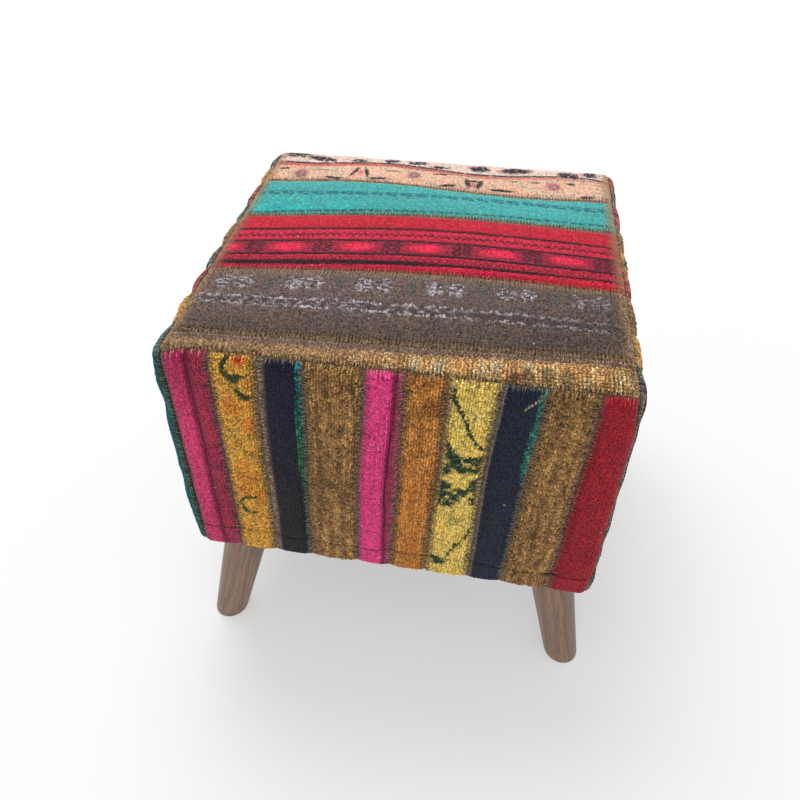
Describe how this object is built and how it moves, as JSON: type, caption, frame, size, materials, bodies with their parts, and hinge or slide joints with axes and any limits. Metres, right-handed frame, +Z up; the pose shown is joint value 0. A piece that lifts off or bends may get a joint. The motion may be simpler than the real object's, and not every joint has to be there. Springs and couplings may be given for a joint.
{
  "type": "footstool",
  "caption": "Square footstool pouf: a padded box covered with sewn strips of patchwork rug, on splayed, tapered round wooden legs.",
  "frame": {"origin": "on the floor, under the middle of the body", "axes": "+X to the right, +Y to the back, +Z up; the front with the narrow upright strips faces -Y, and the strips of the top run from left to right"},
  "size_m": [0.4028, 0.4028, 0.389],
  "materials": {
    "rug_crimson": "worn knotted wool pile, over-dyed",
    "rug_gold": "worn knotted wool pile, over-dyed",
    "rug_grey": "worn knotted wool pile, over-dyed",
    "rug_ivory": "worn knotted wool pile, over-dyed",
    "rug_magenta": "worn knotted wool pile, over-dyed",
    "rug_navy": "worn knotted wool pile, over-dyed",
    "rug_olive": "worn knotted wool pile, over-dyed",
    "rug_pink": "worn knotted wool pile, over-dyed",
    "rug_red": "worn knotted wool pile, over-dyed",
    "rug_rust": "worn knotted wool pile, over-dyed",
    "rug_teal": "worn knotted wool pile, over-dyed",
    "rug_yellow": "worn knotted wool pile, over-dyed",
    "leg_wood": "brown stained, satin",
    "frame_wood": "planed softwood, bare",
    "plywood": "sanded plywood, bare",
    "hardboard": "smooth hardboard",
    "foam": "open-cell polyurethane foam",
    "dust_cloth": "thin black non-woven cloth",
    "zinc_steel": "zinc plated"
  },
  "bodies": {
    "root": {"back_strip_crimson": "rug_crimson", "back_strip_navy": "rug_navy", "back_strip_olive": "rug_olive", "back_strip_pink": "rug_pink", "back_strip_yellow": "rug_yellow", "base_board": "plywood", "bottom_rail_back": "frame_wood", "bottom_rail_front": "frame_wood", "bottom_rail_left": "frame_wood", "bottom_rail_right": "frame_wood", "corner_post_back_left": "frame_wood", "corner_post_back_right": "frame_wood", "corner_post_front_left": "frame_wood", "corner_post_front_right": "frame_wood", "dust_cover": "dust_cloth", "front_strip_01_magenta": "rug_magenta", "front_strip_02_gold": "rug_gold", "front_strip_03_navy": "rug_navy", "front_strip_04_olive": "rug_olive", "front_strip_05_pink": "rug_pink", "front_strip_06_rust": "rug_rust", "front_strip_07_yellow": "rug_yellow", "front_strip_08_navy": "rug_navy", "front_strip_09_olive": "rug_olive", "front_strip_10_crimson": "rug_crimson", "hanger_bolts": "zinc_steel", "insert_nuts": "zinc_steel", "left_strip_crimson": "rug_crimson", "left_strip_gold": "rug_gold", "left_strip_navy": "rug_navy", "left_strip_olive": "rug_olive", "left_strip_teal": "rug_teal", "leg_back_left": "leg_wood", "leg_back_right": "leg_wood", "leg_front_left": "leg_wood", "leg_front_right": "leg_wood", "right_strip_crimson": "rug_crimson", "right_strip_gold": "rug_gold", "right_strip_magenta": "rug_magenta", "right_strip_navy": "rug_navy", "right_strip_olive": "rug_olive", "seat_board": "plywood", "seat_foam": "foam", "side_foam_back": "foam", "side_foam_front": "foam", "side_foam_left": "foam", "side_foam_right": "foam", "side_panel_back": "hardboard", "side_panel_front": "hardboard", "side_panel_left": "hardboard", "side_panel_right": "hardboard", "top_rail_back": "frame_wood", "top_rail_front": "frame_wood", "top_rail_left": "frame_wood", "top_rail_right": "frame_wood", "top_strip_gold": "rug_gold", "top_strip_grey": "rug_grey", "top_strip_ivory": "rug_ivory", "top_strip_red": "rug_red", "top_strip_teal": "rug_teal"}
  },
  "joints": []
}
